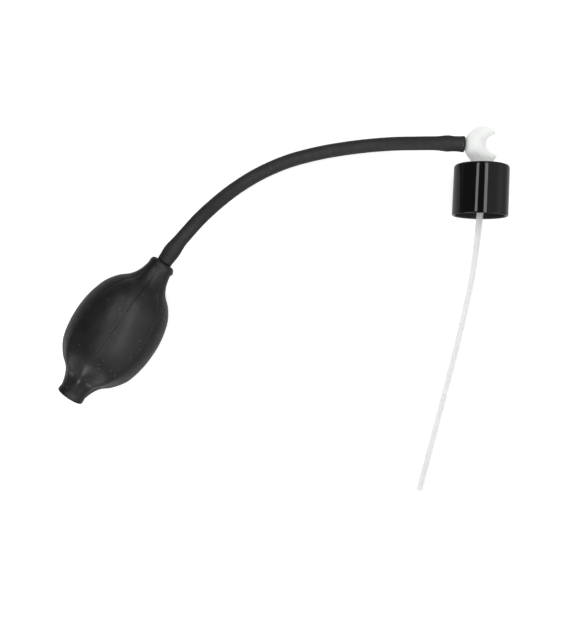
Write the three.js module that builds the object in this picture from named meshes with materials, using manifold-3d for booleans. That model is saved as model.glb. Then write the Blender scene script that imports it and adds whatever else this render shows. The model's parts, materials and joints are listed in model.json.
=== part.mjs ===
// Squeeze-bulb atomiser head for a screw-neck bottle, in millimetres, +Z up.
// The object lies on the plane z = 0. The cap's axis runs along +Y, the hose arrives along +X, and the
// bulb lies on its belly. The origin is under the middle of the object, the hose left out.

import * as THREE from 'three';
import { mergeVertices } from 'three/addons/utils/BufferGeometryUtils.js';
import Module from 'manifold-3d';

// ---------------------------------------------------------------- driving dimensions

const GAP = 0.3; // clearance kept between neighbouring pieces

// Bulb: its axis lies level, turned clockwise from +Y, and s below runs along it from the tail face.
const BULB_TAIL = new THREE.Vector3(-104.9, -49.7, 21.9);
const BULB_HEADING = THREE.MathUtils.degToRad(32.8);
const BULB_LENGTH = 81.4;
const BULB_BELLY_R = 21.9;
const TAIL_COLLAR_R = 6.8;
const NECK_COLLAR_R = 6.5;
const COLLAR_EDGE_R = 0.8;
const COLLAR_BORE_R = 4.3;
const BULB_WALL = 1.8;
const BULB_OUTLINE = [ // [s, radius] between the two collars
  [3.5, TAIL_COLLAR_R], [8.0, 8.35], [11.5, 10.3], [15.4, 14.5], [22.0, 18.95], [31.0, 21.3],
  [40.7, BULB_BELLY_R], [50.0, 20.95], [58.5, 18.4], [64.0, 14.7], [68.0, 10.4], [72.0, 7.95],
  [77.0, NECK_COLLAR_R],
];
const BULB_OUTLINE_STEPS = 22;
const BULB_CAVITY_START = 9.6;
const BULB_CAVITY_END = 69.4;

// Ball check valves: the same seat, chamber and retainer in both collars.
const VALVE_R = COLLAR_BORE_R - GAP;
const VALVE_LENGTH = 8.6;
const VALVE_PORT_R = 0.9;
const VALVE_PORT_LENGTH = 1.6;
const VALVE_SEAT_LENGTH = 1.5;
const VALVE_CHAMBER_R = 2.2;
const VALVE_CHAMBER_END = 6.3;
const VALVE_CAGE_R = 3.2;
const VALVE_CAGE_THICKNESS = 1.0;
const VALVE_CAGE_HOLE_R = 0.6;
const VALVE_CAGE_HOLE_CIRCLE_R = 1.9;
const VALVE_CAGE_HOLES = 4;
const VALVE_BALL_R = 1.6;
const VALVE_BALL_REST = 3.5; // centre of the seated ball, measured from the valve's upstream face
const INLET_VALVE_START = 0.4;
const OUTLET_VALVE_START = 70.0;
const SNOUT_R = 2.1;
const SNOUT_LENGTH = 1.7;
const SCREEN_R = 1.3;
const SCREEN_THICKNESS = 0.4;
const SCREEN_POCKET_DEPTH = 1.0;
const SCREEN_HOLE_R = 0.22;
const SCREEN_HOLE_CIRCLE_R = 0.75;
const SCREEN_HOLES = 6;

// Barbed hose tails, the same on the outlet valve's connector and on the head.
const BARB_CORE_R = 1.3;
const BARB_RIDGE_R = 1.65;
const BARB_BORE_R = 0.7;
const BARB_LENGTH = 10.0;
const BARB_RIDGES = 3;
const BARB_RIDGE_PITCH = 2.6;
const BARB_RIDGE_LENGTH = 1.8;

// Hose: a free length between the neck collar and the ball, resting on the surface midway.
const HOSE_R = 3.5;
const HOSE_BORE_R = 2.0;
const HOSE_SIDES = 10;
const HOSE_STEPS = 28;
const HOSE_ROUTE = [
  [-60.7, 18.9, 21.9], [-56.9, 24.8, 21.9], [-53.3, 29.8, 21.8], [-49.6, 34.6, 21.2],
  [-44.2, 41.5, 19.0], [-38.3, 48.4, 14.6], [-31.9, 55.2, 9.6], [-24.9, 61.4, 5.6],
  [-17.2, 66.8, 3.8], [-8.9, 71.3, 3.55], [-0.4, 75.0, 3.55], [8.5, 77.9, 3.55],
  [17.5, 80.3, 3.55], [26.6, 82.2, 3.55], [35.8, 83.8, 3.6], [45.0, 85.0, 4.0],
  [54.0, 85.5, 6.2], [62.7, 85.3, 9.8], [71.4, 85.1, 13.0], [79.0, 85.1, 14.0],
  [87.0, 85.1, 14.0],
];

// Head: y below runs along the cap's axis from its mouth, and x to the right across it.
const HEAD = new THREE.Vector3(96.55, 49.1, 14.0);
const CAP_MOUTH_R = 14.0;
const CAP_TOP_R = 13.8;
const CAP_HEIGHT = 25.7;
const CAP_EDGE_R = 1.5;
const CAP_WALL = 1.6;
const CAP_TOP_THICKNESS = 1.8;
const CAP_LIP = 0.3;
const THREAD_TURNS = 1.5;
const THREAD_PITCH = 3.175; // a 24-410 bottle finish
const THREAD_R = 0.9;
const THREAD_SINK = 0.3; // how far the thread's centre line lies inside the cap's wall
const THREAD_START = 3.6;
const THREAD_SIDES = 8;
const THREAD_STEPS_PER_TURN = 20;

const STEM_R = 4.45;
const STEM_TOP = 28.0;
const FLANGE_R = 11.6;
const FLANGE_THICKNESS = 1.6;
const BOSS_R = 3.4;
const BOSS_BOTTOM = 13.5;
const STEM_PORT_R = 0.8;
const SPIGOT_R = 2.4;
const SPIGOT_TOP = 30.3;
const RING_GROOVE_R = 1.5;
const RING_GROOVE_BOTTOM = 28.5;
const RING_GROOVE_TOP = 29.8;
const RING_R = 2.05;
const RING_SECTION_R = 0.35;
const GASKET_THICKNESS = 1.3;

const BALL_R = 9.17;
const BALL_Y = 36.0;
const NOTCH_R = 4.85; // at the waist, halfway through the ball
const NOTCH_X = 6.3;
const NOTCH_WALL_R = 9.0; // the notch's wall bulges inwards with this radius
const NOTCH_WALL_HALF_HEIGHT = 8.0;
const HOSE_BARB_R = 1.7;
const HOSE_BARB_INNER_X = -4.5;
const AIR_PORT_R = 0.8;
const NOZZLE_R = 1.2;
const NOZZLE_START_X = -2.2;
const NOZZLE_END_X = 1.1;
const NOZZLE_WAIST_R = 0.85;
const NOZZLE_WAIST_HALF = 0.7;
const NOZZLE_ORIFICE_R = 0.35;

// Dip tube: from inside the stem, out of the cap's mouth and down to the surface at its tip.
const DIP_TUBE_R = 1.7;
const DIP_TUBE_BORE_R = 1.15;
const DIP_TUBE_SIDES = 8;
const DIP_TUBE_STEPS = 24;
const DIP_TUBE_SOCKET_TOP = 26.5;
const DIP_TUBE_ROUTE = [
  [96.55, 75.2, 14.0], [96.55, 62.0, 14.0], [96.5, 50.0, 14.0], [95.9, 37.6, 13.3],
  [94.7, 21.5, 12.1], [92.5, 5.5, 10.8], [89.8, -10.5, 9.4], [86.8, -26.6, 8.0],
  [83.6, -42.8, 6.5], [80.4, -59.0, 5.0], [77.1, -75.4, 3.5], [73.6, -93.0, 1.9],
];

const COARSE = 16; // segments round small pieces
const FINE = 28; // segments round the bulb, the cap and the ball
const SMALL_HOLE = 8; // segments round small holes and the ring's section
const COLLAR_EDGE_STEPS = 2;
const CAP_EDGE_STEPS = 4;
const NOTCH_WALL_STEPS = 8;
const CUT_REACH = 1; // how far a cutter runs past what it cuts
const MERGE_TOLERANCE = 1e-4;

// ---------------------------------------------------------------- materials

const blackRubber = new THREE.MeshStandardMaterial({ color: 0x1c1c1b, roughness: 0.6, metalness: 0 });
const hoseRubber = new THREE.MeshStandardMaterial({ color: 0x2c2c2a, roughness: 0.7, metalness: 0 });
const blackGloss = new THREE.MeshStandardMaterial({ color: 0x060606, roughness: 0.08, metalness: 0 });
const whitePlastic = new THREE.MeshStandardMaterial({ color: 0xe9ebe8, roughness: 0.4, metalness: 0 });
const clearPlastic = new THREE.MeshStandardMaterial({
  color: 0xeef0f2, roughness: 0.25, metalness: 0, transparent: true, opacity: 0.6,
});
const blackPlastic = new THREE.MeshStandardMaterial({ color: 0x151515, roughness: 0.45, metalness: 0 });
const steel = new THREE.MeshStandardMaterial({ color: 0xb8babc, roughness: 0.25, metalness: 1 });
const gasketFoam = new THREE.MeshStandardMaterial({ color: 0xf2f2ee, roughness: 0.8, metalness: 0 });

// ---------------------------------------------------------------- shape helpers

const wasm = await Module();
wasm.setup();

function solidOf(geometry) {
  const bare = geometry.clone();
  bare.deleteAttribute('normal');
  bare.deleteAttribute('uv');
  const merged = mergeVertices(bare, MERGE_TOLERANCE);
  return new wasm.Manifold(new wasm.Mesh({
    numProp: 3,
    vertProperties: new Float32Array(merged.attributes.position.array),
    triVerts: new Uint32Array(merged.index.array),
  }));
}

function geometryOf(solid) {
  const mesh = solid.getMesh();
  const geometry = new THREE.BufferGeometry();
  geometry.setAttribute('position', new THREE.BufferAttribute(new Float32Array(mesh.vertProperties), 3));
  geometry.setIndex(new THREE.BufferAttribute(new Uint32Array(mesh.triVerts), 1));
  geometry.computeVertexNormals();
  return geometry;
}

function lathe(outline, segments) {
  return new THREE.LatheGeometry(outline.map(([r, y]) => new THREE.Vector2(r, y)), segments);
}

// A ring-shaped turned piece: the outline runs up the outside, down the bore and back to its start.
function turned(outline, segments) {
  return lathe([...outline, outline[0]], segments);
}

function arc(centreR, centreY, radius, fromDeg, toDeg, steps) {
  const points = [];
  for (let i = 0; i <= steps; i += 1) {
    const angle = THREE.MathUtils.degToRad(fromDeg + ((toDeg - fromDeg) * i) / steps);
    points.push([centreR + radius * Math.cos(angle), centreY + radius * Math.sin(angle)]);
  }
  return points;
}

function rod(radius, bottom, top, segments = COARSE) {
  return lathe([[0, bottom], [radius, bottom], [radius, top], [0, top]], segments);
}

function tubeAlong(route, radius, boreRadius, sides, steps) {
  const section = new THREE.Shape();
  section.absarc(0, 0, radius, 0, Math.PI * 2, false);
  const bore = new THREE.Path();
  bore.absarc(0, 0, boreRadius, 0, Math.PI * 2, true);
  section.holes.push(bore);
  const points = route.map((point) => new THREE.Vector3(...point));
  return new THREE.ExtrudeGeometry(section, {
    steps,
    extrudePath: new THREE.CatmullRomCurve3(points, false, 'centripetal'),
    bevelEnabled: false,
    curveSegments: sides / 2,
  });
}

function part(name, geometry, material, parent) {
  const mesh = new THREE.Mesh(geometry, material);
  mesh.name = name;
  parent.add(mesh);
  return mesh;
}

// ---------------------------------------------------------------- bulb

function bulbShell() {
  const smooth = new THREE.SplineCurve(BULB_OUTLINE.map(([s, r]) => new THREE.Vector2(r, s)));
  const outside = smooth.getPoints(BULB_OUTLINE_STEPS).map((point) => [point.x, point.y]);
  const cavity = outside
    .map(([r, s]) => [Math.max(r - BULB_WALL, COLLAR_BORE_R), s])
    .filter(([r, s]) => r > COLLAR_BORE_R && s > BULB_CAVITY_START && s < BULB_CAVITY_END)
    .filter((point, index) => index % 2 === 0)
    .reverse();
  return turned([
    [COLLAR_BORE_R, 0],
    ...arc(TAIL_COLLAR_R - COLLAR_EDGE_R, COLLAR_EDGE_R, COLLAR_EDGE_R, -90, 0, COLLAR_EDGE_STEPS),
    ...outside,
    ...arc(NECK_COLLAR_R - COLLAR_EDGE_R, BULB_LENGTH - COLLAR_EDGE_R, COLLAR_EDGE_R, 0, 90, COLLAR_EDGE_STEPS),
    [COLLAR_BORE_R, BULB_LENGTH],
    [COLLAR_BORE_R, BULB_CAVITY_END],
    ...cavity,
    [COLLAR_BORE_R, BULB_CAVITY_START],
  ], FINE);
}

// ---------------------------------------------------------------- check valves

function valveBore() {
  return [
    [VALVE_CAGE_R + GAP, VALVE_LENGTH],
    [VALVE_CAGE_R + GAP, VALVE_CHAMBER_END],
    [VALVE_CHAMBER_R, VALVE_CHAMBER_END],
    [VALVE_CHAMBER_R, VALVE_PORT_LENGTH + VALVE_SEAT_LENGTH],
    [VALVE_PORT_R, VALVE_PORT_LENGTH],
  ];
}

function inletValveBody() {
  const screenFloor = SCREEN_POCKET_DEPTH - SNOUT_LENGTH;
  return turned([
    [SCREEN_R + GAP, -SNOUT_LENGTH],
    [SNOUT_R, -SNOUT_LENGTH],
    [SNOUT_R, 0],
    [VALVE_R, 0],
    [VALVE_R, VALVE_LENGTH],
    ...valveBore(),
    [VALVE_PORT_R, screenFloor],
    [SCREEN_R + GAP, screenFloor],
  ], COARSE);
}

function outletValveBody() {
  return turned([
    [VALVE_PORT_R, 0],
    [VALVE_R, 0],
    [VALVE_R, VALVE_LENGTH],
    ...valveBore(),
  ], COARSE);
}

function drilledDisc(radius, bottom, thickness, holeR, holeCircleR, holes) {
  let solid = solidOf(rod(radius, bottom, bottom + thickness));
  for (let i = 0; i < holes; i += 1) {
    const angle = (i * Math.PI * 2) / holes;
    const drill = rod(holeR, bottom - CUT_REACH, bottom + thickness + CUT_REACH, SMALL_HOLE);
    drill.translate(holeCircleR * Math.cos(angle), 0, holeCircleR * Math.sin(angle));
    solid = solid.subtract(solidOf(drill));
  }
  return geometryOf(solid);
}

function valveCage() {
  return drilledDisc(
    VALVE_CAGE_R,
    VALVE_CHAMBER_END + GAP,
    VALVE_CAGE_THICKNESS,
    VALVE_CAGE_HOLE_R,
    VALVE_CAGE_HOLE_CIRCLE_R,
    VALVE_CAGE_HOLES,
  );
}

function inletScreen() {
  const bottom = SCREEN_POCKET_DEPTH - SNOUT_LENGTH - GAP - SCREEN_THICKNESS;
  return drilledDisc(SCREEN_R, bottom, SCREEN_THICKNESS, SCREEN_HOLE_R, SCREEN_HOLE_CIRCLE_R, SCREEN_HOLES);
}

function valveBall() {
  const ball = new THREE.SphereGeometry(VALVE_BALL_R, COARSE, COARSE / 2);
  ball.translate(0, VALVE_BALL_REST, 0);
  return ball;
}

// The outline of a hose tail from its root up to its tip, ridge after ridge.
function barbOutline(root) {
  const points = [[BARB_CORE_R, root]];
  const firstRidge = root + BARB_LENGTH - BARB_RIDGES * BARB_RIDGE_PITCH;
  for (let i = 0; i < BARB_RIDGES; i += 1) {
    const ridge = firstRidge + i * BARB_RIDGE_PITCH;
    points.push([BARB_CORE_R, ridge], [BARB_RIDGE_R, ridge], [BARB_CORE_R, ridge + BARB_RIDGE_LENGTH]);
  }
  points.push([BARB_CORE_R, root + BARB_LENGTH], [BARB_BORE_R, root + BARB_LENGTH]);
  return points;
}

function hoseConnector() {
  const flangeBottom = OUTLET_VALVE_START + VALVE_LENGTH + GAP;
  const flangeTop = BULB_LENGTH - GAP;
  return turned([
    [BARB_BORE_R, flangeBottom],
    [VALVE_R, flangeBottom],
    [VALVE_R, flangeTop],
    ...barbOutline(flangeTop),
  ], COARSE);
}

// ---------------------------------------------------------------- cap

function threadHelix() {
  const radius = CAP_MOUTH_R - CAP_WALL + THREAD_SINK;
  const points = [];
  const steps = THREAD_TURNS * THREAD_STEPS_PER_TURN;
  for (let i = 0; i <= steps; i += 1) {
    const turn = i / THREAD_STEPS_PER_TURN;
    const angle = turn * Math.PI * 2;
    points.push(new THREE.Vector3(
      radius * Math.cos(angle),
      THREAD_START + turn * THREAD_PITCH,
      -radius * Math.sin(angle),
    ));
  }
  const section = new THREE.Shape();
  section.absarc(0, 0, THREAD_R, 0, Math.PI * 2, false);
  return new THREE.ExtrudeGeometry(section, {
    steps,
    extrudePath: new THREE.CatmullRomCurve3(points),
    bevelEnabled: false,
    curveSegments: THREAD_SIDES / 2,
  });
}

function screwCap() {
  const innerTop = CAP_HEIGHT - CAP_TOP_THICKNESS;
  const shell = turned([
    [CAP_MOUTH_R - CAP_WALL + CAP_LIP, 0],
    [CAP_MOUTH_R, 0],
    ...arc(CAP_TOP_R - CAP_EDGE_R, CAP_HEIGHT - CAP_EDGE_R, CAP_EDGE_R, 0, 90, CAP_EDGE_STEPS),
    [STEM_R + GAP, CAP_HEIGHT],
    [STEM_R + GAP, innerTop],
    [CAP_TOP_R - CAP_WALL, innerTop],
    [CAP_MOUTH_R - CAP_WALL, CAP_LIP],
  ], FINE);
  return geometryOf(solidOf(shell).add(solidOf(threadHelix())));
}

// ---------------------------------------------------------------- stem, seals and ball

function stemFitment() {
  const flangeTop = CAP_HEIGHT - CAP_TOP_THICKNESS - GAP;
  const socketR = DIP_TUBE_R + GAP;
  return turned([
    [socketR, BOSS_BOTTOM],
    [BOSS_R, BOSS_BOTTOM],
    [BOSS_R, flangeTop - FLANGE_THICKNESS],
    [FLANGE_R, flangeTop - FLANGE_THICKNESS],
    [FLANGE_R, flangeTop],
    [STEM_R, flangeTop],
    [STEM_R, STEM_TOP],
    [SPIGOT_R, STEM_TOP],
    [SPIGOT_R, RING_GROOVE_BOTTOM],
    [RING_GROOVE_R, RING_GROOVE_BOTTOM],
    [RING_GROOVE_R, RING_GROOVE_TOP],
    [SPIGOT_R, RING_GROOVE_TOP],
    [SPIGOT_R, SPIGOT_TOP],
    [STEM_PORT_R, SPIGOT_TOP],
    [STEM_PORT_R, DIP_TUBE_SOCKET_TOP],
    [socketR, DIP_TUBE_SOCKET_TOP],
  ], FINE);
}

function stemRing() {
  const ring = new THREE.TorusGeometry(RING_R, RING_SECTION_R, SMALL_HOLE, COARSE);
  ring.rotateX(Math.PI / 2);
  ring.translate(0, (RING_GROOVE_BOTTOM + RING_GROOVE_TOP) / 2, 0);
  return ring;
}

function neckGasket() {
  const top = CAP_HEIGHT - CAP_TOP_THICKNESS - GAP - FLANGE_THICKNESS - GAP;
  const bottom = top - GASKET_THICKNESS;
  return turned([
    [BOSS_R + GAP, bottom],
    [FLANGE_R, bottom],
    [FLANGE_R, top],
    [BOSS_R + GAP, top],
  ], FINE);
}

// The notch is an upright cut with a waist, so it flares towards both faces of the ball.
function notchCutter() {
  const reach = BALL_R + CUT_REACH;
  const wallDeg = THREE.MathUtils.radToDeg(Math.asin(NOTCH_WALL_HALF_HEIGHT / NOTCH_WALL_R));
  const wall = arc(NOTCH_R + NOTCH_WALL_R, 0, NOTCH_WALL_R, 180 + wallDeg, 180 - wallDeg, NOTCH_WALL_STEPS);
  const slope = Math.tan(THREE.MathUtils.degToRad(wallDeg));
  const mouthR = wall[0][0] + (reach - NOTCH_WALL_HALF_HEIGHT) * slope;
  const cutter = lathe([[0, -reach], [mouthR, -reach], ...wall, [mouthR, reach], [0, reach]], FINE);
  cutter.rotateX(Math.PI / 2);
  cutter.translate(NOTCH_X, BALL_Y, 0);
  return cutter;
}

// A drill along X at the ball's middle, between two x positions.
function crossDrill(radius, fromX, toX) {
  const drill = rod(radius, -toX, -fromX);
  drill.rotateZ(Math.PI / 2);
  drill.translate(0, BALL_Y, 0);
  return drill;
}

function headBall() {
  const ball = new THREE.SphereGeometry(BALL_R, FINE, FINE / 2);
  ball.translate(0, BALL_Y, 0);
  const pocketR = NOZZLE_R + GAP;
  const cuts = [
    notchCutter(),
    rod(STEM_R + GAP, BALL_Y - BALL_R - CUT_REACH, STEM_TOP + GAP, FINE),
    rod(SPIGOT_R + GAP, STEM_TOP, SPIGOT_TOP + GAP),
    rod(STEM_PORT_R, SPIGOT_TOP, BALL_Y - pocketR / 2, SMALL_HOLE),
    crossDrill(HOSE_BARB_R + GAP, -BALL_R - CUT_REACH, HOSE_BARB_INNER_X + GAP),
    crossDrill(AIR_PORT_R, HOSE_BARB_INNER_X, NOZZLE_START_X),
    crossDrill(pocketR, NOZZLE_START_X - GAP, NOTCH_X),
  ];
  let solid = solidOf(ball);
  for (const cut of cuts) {
    solid = solid.subtract(solidOf(cut));
  }
  return geometryOf(solid);
}

// Turned pieces on the ball's cross axis are drawn with y pointing from the ball's middle to the hose.
function onCrossAxis(mesh) {
  mesh.rotation.z = Math.PI / 2;
  mesh.position.y = BALL_Y;
}

function hoseBarb() {
  const shoulder = BALL_R - GAP;
  return turned([
    [BARB_BORE_R, -HOSE_BARB_INNER_X],
    [HOSE_BARB_R, -HOSE_BARB_INNER_X],
    [HOSE_BARB_R, shoulder],
    ...barbOutline(shoulder),
  ], COARSE);
}

function sprayNozzle() {
  return turned([
    [NOZZLE_ORIFICE_R, -NOZZLE_END_X],
    [NOZZLE_R, -NOZZLE_END_X],
    [NOZZLE_R, -NOZZLE_WAIST_HALF],
    [NOZZLE_WAIST_R, -NOZZLE_WAIST_HALF],
    [NOZZLE_WAIST_R, NOZZLE_WAIST_HALF],
    [NOZZLE_R, NOZZLE_WAIST_HALF],
    [NOZZLE_R, -NOZZLE_START_X],
    [NOZZLE_ORIFICE_R, -NOZZLE_START_X],
  ], COARSE);
}

// ---------------------------------------------------------------- assembly

const model = new THREE.Group();

const bulb = new THREE.Group();
bulb.position.copy(BULB_TAIL);
bulb.rotation.z = -BULB_HEADING;
model.add(bulb);
part('bulb_shell', bulbShell(), blackRubber, bulb);
part('hose_connector', hoseConnector(), blackPlastic, bulb);

const inletValve = new THREE.Group();
inletValve.position.y = INLET_VALVE_START;
bulb.add(inletValve);
part('inlet_valve_body', inletValveBody(), blackPlastic, inletValve);
part('inlet_valve_ball', valveBall(), steel, inletValve);
part('inlet_valve_cage', valveCage(), blackPlastic, inletValve);
part('inlet_screen', inletScreen(), steel, inletValve);

const outletValve = new THREE.Group();
outletValve.position.y = OUTLET_VALVE_START;
bulb.add(outletValve);
part('outlet_valve_body', outletValveBody(), blackPlastic, outletValve);
part('outlet_valve_ball', valveBall(), steel, outletValve);
part('outlet_valve_cage', valveCage(), blackPlastic, outletValve);

part('air_hose', tubeAlong(HOSE_ROUTE, HOSE_R, HOSE_BORE_R, HOSE_SIDES, HOSE_STEPS), hoseRubber, model);
part('dip_tube', tubeAlong(DIP_TUBE_ROUTE, DIP_TUBE_R, DIP_TUBE_BORE_R, DIP_TUBE_SIDES, DIP_TUBE_STEPS),
  clearPlastic, model);

const head = new THREE.Group();
head.position.copy(HEAD);
model.add(head);
part('screw_cap', screwCap(), blackGloss, head);
part('stem_fitment', stemFitment(), whitePlastic, head);
part('stem_o_ring', stemRing(), blackRubber, head);
part('neck_gasket', neckGasket(), gasketFoam, head);
part('head_ball', headBall(), whitePlastic, head);
onCrossAxis(part('hose_barb', hoseBarb(), blackPlastic, head));
onCrossAxis(part('spray_nozzle', sprayNozzle(), whitePlastic, head));

export default model;
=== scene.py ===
"""A squeeze-bulb atomiser head lying on a white table, seen from straight above, in metres."""

import json
import math

import bmesh
import bpy
import numpy as np
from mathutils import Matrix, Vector


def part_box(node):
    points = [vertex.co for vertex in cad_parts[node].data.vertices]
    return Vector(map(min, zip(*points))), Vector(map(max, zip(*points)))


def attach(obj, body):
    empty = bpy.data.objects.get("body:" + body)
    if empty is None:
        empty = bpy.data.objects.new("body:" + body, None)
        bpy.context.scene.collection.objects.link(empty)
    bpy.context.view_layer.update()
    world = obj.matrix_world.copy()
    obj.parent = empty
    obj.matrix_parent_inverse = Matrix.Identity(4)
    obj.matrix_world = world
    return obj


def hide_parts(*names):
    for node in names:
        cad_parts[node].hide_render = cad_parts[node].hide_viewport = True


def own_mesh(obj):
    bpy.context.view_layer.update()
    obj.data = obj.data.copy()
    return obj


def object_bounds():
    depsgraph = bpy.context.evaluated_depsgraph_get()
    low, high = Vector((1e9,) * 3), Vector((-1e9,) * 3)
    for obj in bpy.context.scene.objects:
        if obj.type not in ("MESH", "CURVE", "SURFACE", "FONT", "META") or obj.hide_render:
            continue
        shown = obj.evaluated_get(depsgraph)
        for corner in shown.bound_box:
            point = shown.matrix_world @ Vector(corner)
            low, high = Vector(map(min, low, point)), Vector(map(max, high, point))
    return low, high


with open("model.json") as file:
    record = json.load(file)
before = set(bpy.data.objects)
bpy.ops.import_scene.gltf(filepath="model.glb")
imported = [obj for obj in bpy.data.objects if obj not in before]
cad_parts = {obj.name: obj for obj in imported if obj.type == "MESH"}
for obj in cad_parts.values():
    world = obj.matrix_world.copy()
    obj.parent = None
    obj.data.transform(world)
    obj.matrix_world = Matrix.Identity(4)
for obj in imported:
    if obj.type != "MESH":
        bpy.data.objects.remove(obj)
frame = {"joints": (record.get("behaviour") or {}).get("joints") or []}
cad_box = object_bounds()

MM = 0.001
GAP = 0.3 * MM  # clearance that neighbouring pieces keep
PROFILE_STEPS = 8  # steps between two points of a profile
ROUTE_STEPS = 40  # steps between two points of a route

# ---------------------------------------------------------------- places, from the frame

CAP_LOW, CAP_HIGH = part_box("screw_cap")
HEAD = Vector(((CAP_LOW.x + CAP_HIGH.x) / 2, CAP_LOW.y, (CAP_LOW.z + CAP_HIGH.z) / 2))
CAP_HEIGHT = CAP_HIGH.y - CAP_LOW.y
CAP_MOUTH_R = (CAP_HIGH.z - CAP_LOW.z) / 2

BULB_AXIS = next(Vector(j["axis"]) for j in frame["joints"] if j["name"] == "inlet_ball_lift").normalized()
UP = Vector((0, 0, 1))
BULB_SIDE = BULB_AXIS.cross(UP)


# ---------------------------------------------------------------- driving dimensions

BULB_TAIL = Vector((-104.9, -49.7, 21.9)) * MM  # the middle of the bulb's tail face
BULB_LENGTH = 81.4 * MM
NECK_COLLAR_R = 6.5 * MM
TAIL_LIP = [  # (distance from the tail face, radius) from the bore out to the collar, in millimetres
    (0.0, 4.6), (0.0, 5.6), (0.1, 6.3), (0.35, 6.75), (0.8, 6.95), (2.0, 6.9),
]
NECK_EDGE_R = 1.9 * MM
NECK_EDGE_STEPS = 6
NECK_EDGE_LEAD = 0.2 * MM  # from the end of the outline to the rounded edge
SKIN_STEPS = 10  # steps between two points of the outline
PLAIN_RINGS = 8  # rings at each end of the skin without lobes or grooves
CAVITY_STEPS = 2  # the same for the cavity inside
CAVITY_CORNER = 0.4 * MM  # from the end of a collar's bore to the cavity
COLLAR_BORE_R = 4.3 * MM
BULB_WALL = 1.8 * MM
BULB_OUTLINE = [  # (distance from the tail face, radius) between the collars, in millimetres
    (3.5, 6.8), (8.0, 8.25), (11.5, 10.25), (15.4, 14.5), (22.0, 19.0), (31.0, 21.3),
    (40.7, 21.9), (50.0, 20.95), (58.5, 18.4), (64.0, 14.7), (68.0, 10.4), (72.0, 7.95),
    (77.0, 6.5),
]
SEAMS = 8
SEAM_START = math.radians(4.7)
SEAM_FADE = (4.0 * MM, 8.0 * MM, 72.0 * MM, 76.0 * MM)  # where the grooves fade in, and out again
SEAM_DEPTH = 0.13 * MM
SEAM_HALF_WIDTH = 0.28 * MM
SEAM_SAMPLES_DEG = (0, 0.35, 0.8, 1.6, 3.2, 6.0, 9.5, 13.0, 17.0, 22.5)
VALLEY_SHARPNESS = 1.3  # above 1 it narrows the valleys between the lobes
# How far the skin sinks, as (distance from the tail face in millimetres, share of the radius):
# above zero it sinks at the seams, below zero midway between them.
LOBE_SHARES = [
    (5.0, 0.0), (7.0, -0.03), (10.0, -0.09), (14.0, -0.11), (19.0, -0.07), (27.0, -0.025), (40.0, -0.004),
    (54.0, 0.008), (61.0, 0.022), (66.5, 0.04), (70.5, 0.035), (74.0, 0.01), (76.5, 0.0),
]
CAVITY_START = 9.6 * MM
CAVITY_END = 69.4 * MM
BORE_EDGE_R = 0.3 * MM
NUB_SEAM = 2  # the seam that the nub of moulding flash stands on, counted from the top
NUB_PLACE = 78.8 * MM
NUB_ZONE_START = 0.9 * BULB_LENGTH
NUB_SIZE = 0.75 * MM
NUB_HEIGHT = 0.45 * MM

VALVE_R = COLLAR_BORE_R - GAP
VALVE_LENGTH = 8.6 * MM
VALVE_PORT_R = 0.9 * MM
VALVE_PORT_LENGTH = 1.6 * MM
VALVE_SEAT_LENGTH = 1.5 * MM
VALVE_CHAMBER_R = 2.2 * MM
VALVE_CHAMBER_END = 6.3 * MM
VALVE_CAGE_R = 3.2 * MM
INLET_VALVE_START = 0.4 * MM
SNOUT_R = 2.1 * MM
SNOUT_LENGTH = 1.3 * MM
SCREEN_R = 1.3 * MM
SCREEN_POCKET_DEPTH = 1.0 * MM
VALVE_ROUND = 0.22 * MM
VALVE_SIDES = 64

HOSE_BORE_R = 2.0 * MM
HOSE_BORE_DEPTH = 11.0 * MM
HOSE_RIM_R = 0.5 * MM
HOSE_END_INSET = 0.075 * MM  # how much narrower the hose is at its very ends
HOSE_SUNK = 0.2 * MM  # how far the hose reaches into the bulb's neck
HOSE_STEP = 1.0 * MM
HOSE_SIDES = 32
HOSE_ROUTE = [  # the same points as in the CAD source, in millimetres
    (-60.7, 18.9, 21.9), (-56.9, 24.8, 21.9), (-53.3, 29.8, 21.8), (-49.6, 34.6, 21.2),
    (-44.2, 41.5, 19.0), (-38.3, 48.4, 14.6), (-31.9, 55.2, 9.6), (-24.9, 61.4, 5.6),
    (-17.2, 66.8, 3.8), (-8.9, 71.3, 3.55), (-0.4, 75.0, 3.55), (8.5, 77.9, 3.55),
    (17.5, 80.3, 3.55), (26.6, 82.2, 3.55), (35.8, 83.8, 3.6), (45.0, 85.0, 4.0),
    (54.0, 85.5, 6.2), (62.7, 85.3, 9.8), (71.4, 85.1, 13.0), (79.0, 85.1, 14.0),
    (87.0, 85.1, 14.0),
]
HOSE_NECK_END = [  # (distance from the bulb's end of the hose, radius), in millimetres
    (0.0, 3.8), (2.5, 3.9), (5.0, 4.12), (7.0, 4.2), (9.0, 4.08), (11.5, 3.74), (14.0, 3.53), (16.0, 3.5),
]
HOSE_HEAD_END = [  # (distance from the head's end of the hose, radius), in millimetres
    (0.0, 4.12), (0.9, 4.05), (2.0, 3.9), (4.2, 3.82), (6.5, 3.95), (8.2, 4.1), (10.2, 3.95),
    (12.5, 3.64), (15.0, 3.51), (17.0, 3.5),
]

DIP_TUBE_R = 1.7 * MM
DIP_TUBE_BORE_R = 1.15 * MM
DIP_TUBE_STEP = 1.6 * MM
DIP_TUBE_SIDES = 32
DIP_TUBE_ROUTE = [  # the same points as in the CAD source, in millimetres
    (96.55, 75.2, 14.0), (96.55, 62.0, 14.0), (96.5, 50.0, 14.0), (95.9, 37.6, 13.3),
    (94.7, 21.5, 12.1), (92.5, 5.5, 10.8), (89.8, -10.5, 9.4), (86.8, -26.6, 8.0),
    (83.6, -42.8, 6.5), (80.4, -59.0, 5.0), (77.1, -75.4, 3.5), (73.6, -93.0, 1.9),
]

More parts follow.
